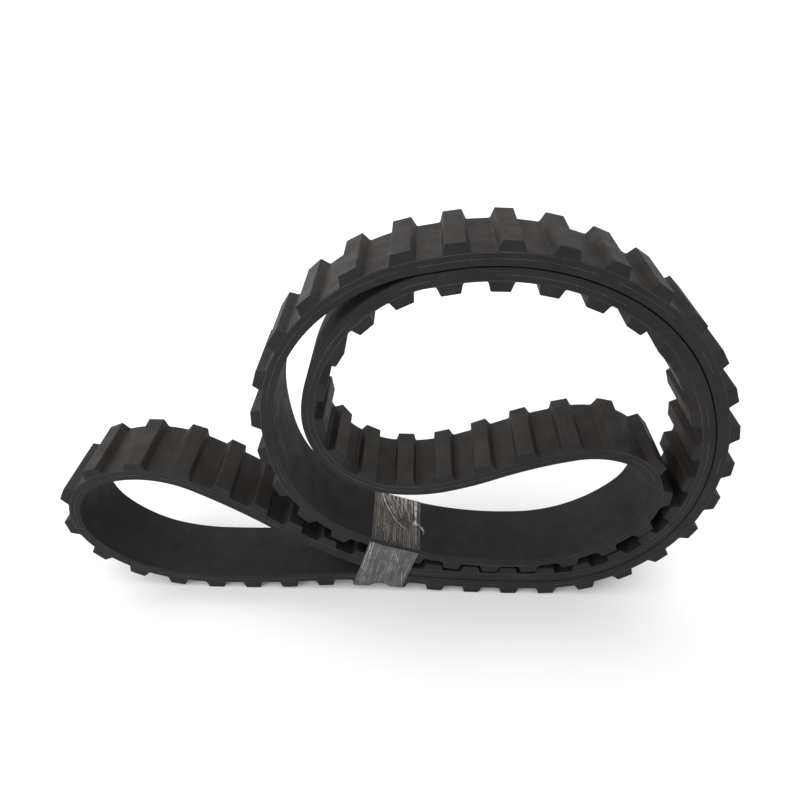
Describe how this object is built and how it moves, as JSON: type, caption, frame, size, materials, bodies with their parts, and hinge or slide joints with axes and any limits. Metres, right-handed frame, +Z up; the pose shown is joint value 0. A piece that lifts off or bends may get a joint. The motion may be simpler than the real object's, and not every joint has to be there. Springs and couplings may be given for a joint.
{
  "type": "toothed rubber track belt",
  "caption": "Endless rubber track belt with transverse block lugs outside and a smooth inside, folded flat, rolled up and held by a wrap of strapping tape.",
  "frame": {"origin": "centre of the footprint, on the floor plane that the lowest lugs touch", "axes": "+X runs to the right along the bundle, away from the left loop; +Y goes back, across the belt's width; +Z is up"},
  "size_m": [0.6454, 0.0738, 0.3915],
  "materials": {
    "cover_rubber": "smooth matt black running side",
    "cord_ply": "matt black skim rubber with wound cords",
    "core_rubber": "matt black, knife-cut at the edges",
    "breaker_fabric": "brown rubbered fabric",
    "lug_rubber": "moulded matt black",
    "tape_film": "clear glossy film",
    "tape_strands": "white glass yarn"
  },
  "bodies": {
    "tied_roll": {"outer_wrap_running_cover": "cover_rubber", "outer_wrap_cord_ply": "cord_ply", "outer_wrap_core_rubber": "core_rubber", "outer_wrap_breaker_fabric": "breaker_fabric", "outer_wrap_lugs": "lug_rubber", "inner_wrap_running_cover": "cover_rubber", "inner_wrap_cord_ply": "cord_ply", "inner_wrap_core_rubber": "core_rubber", "inner_wrap_breaker_fabric": "breaker_fabric", "inner_wrap_lugs": "lug_rubber", "tape_film": "tape_film", "tape_strands": "tape_strands"},
    "left_loop": {"left_loop_running_cover": "cover_rubber", "left_loop_cord_ply": "cord_ply", "left_loop_core_rubber": "core_rubber", "left_loop_breaker_fabric": "breaker_fabric", "left_loop_lugs": "lug_rubber"},
    "inner_fold": {"inner_fold_running_cover": "cover_rubber", "inner_fold_cord_ply": "cord_ply", "inner_fold_core_rubber": "core_rubber", "inner_fold_breaker_fabric": "breaker_fabric", "inner_fold_lugs": "lug_rubber"}
  },
  "joints": [
    {"name": "left_loop_flex", "type": "hinge", "parent": "tied_roll", "child": "left_loop", "pos_m": [-0.118, 0, 0.057], "axis": [0, 1, 0], "range_deg": [0, 4], "stiffness_Nm_per_rad": 8},
    {"name": "inner_fold_flex", "type": "hinge", "parent": "tied_roll", "child": "inner_fold", "pos_m": [0.08, 0, 0.075], "axis": [0, -1, 0], "range_deg": [0, 2], "stiffness_Nm_per_rad": 8}
  ]
}
